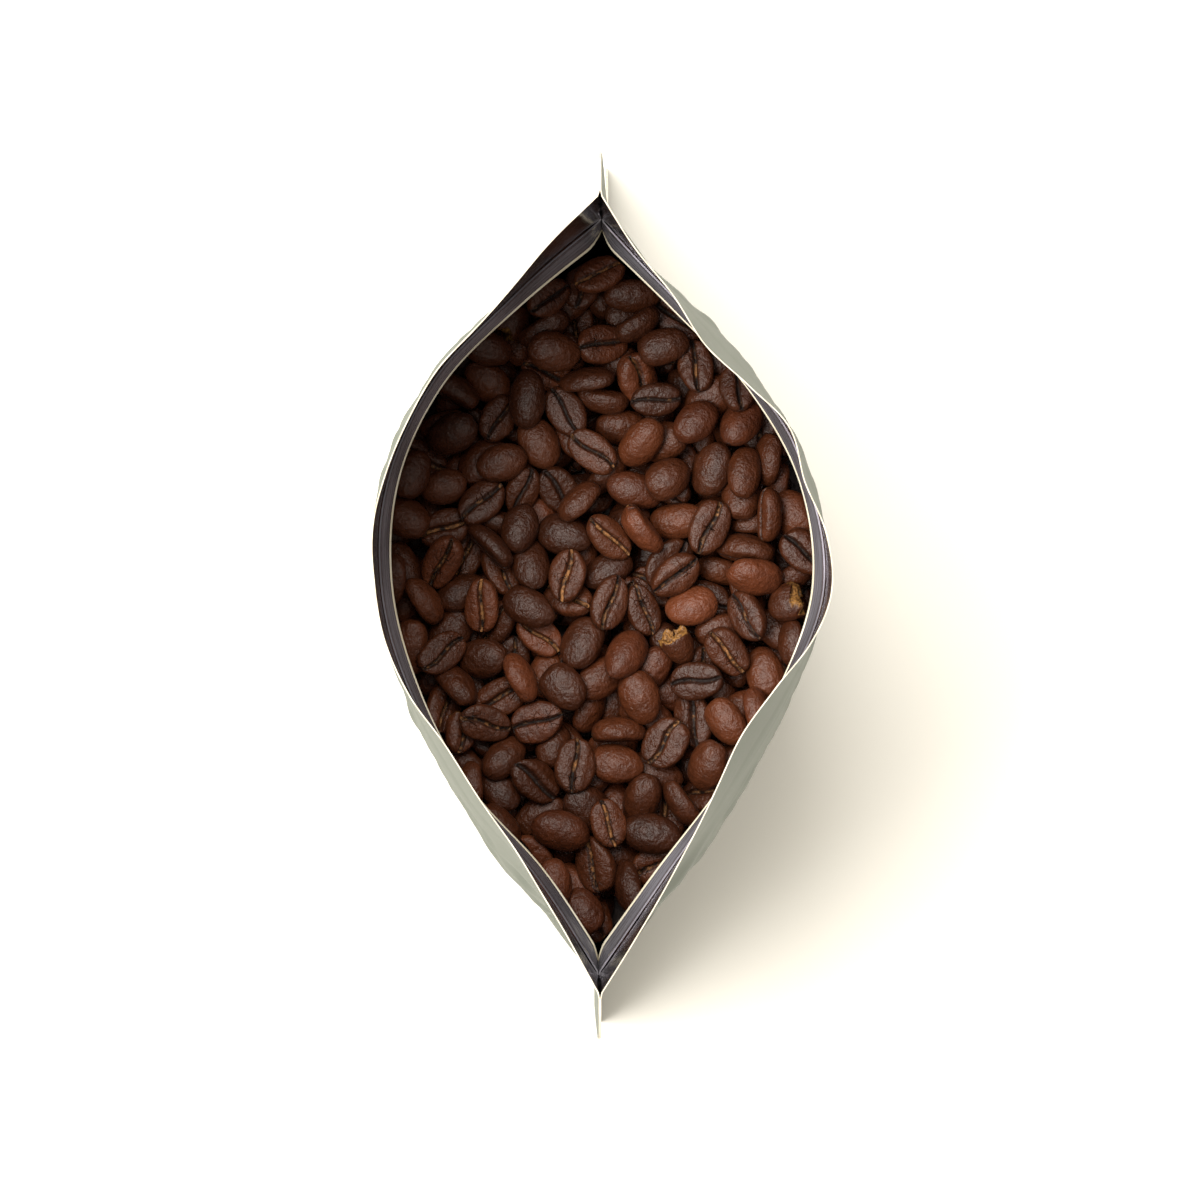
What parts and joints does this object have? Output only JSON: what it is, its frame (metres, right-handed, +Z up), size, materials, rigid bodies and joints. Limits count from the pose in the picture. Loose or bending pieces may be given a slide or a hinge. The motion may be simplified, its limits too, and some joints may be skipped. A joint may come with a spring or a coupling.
{
  "type": "coffee bag",
  "caption": "Open stand-up pouch of roasted coffee beans: pearly film with side seals, a bottom gusset and an open press zipper below its wavy lip.",
  "frame": {"origin": "middle of the bottom gusset, where it is pressed flat on the table", "axes": "+Z up, X from side seal to side seal, the front panel faces -Y"},
  "size_m": [0.1752, 0.0873, 0.263],
  "materials": {
    "film": "satin pearl outside, metallised inside",
    "zipper": "milky translucent plastic strip",
    "coffee": "dark roasted beans with a satin sheen"
  },
  "bodies": {
    "root": {"pouch": "film", "zipper_front": "zipper", "zipper_back": "zipper", "coffee_beans": "coffee"}
  },
  "joints": []
}
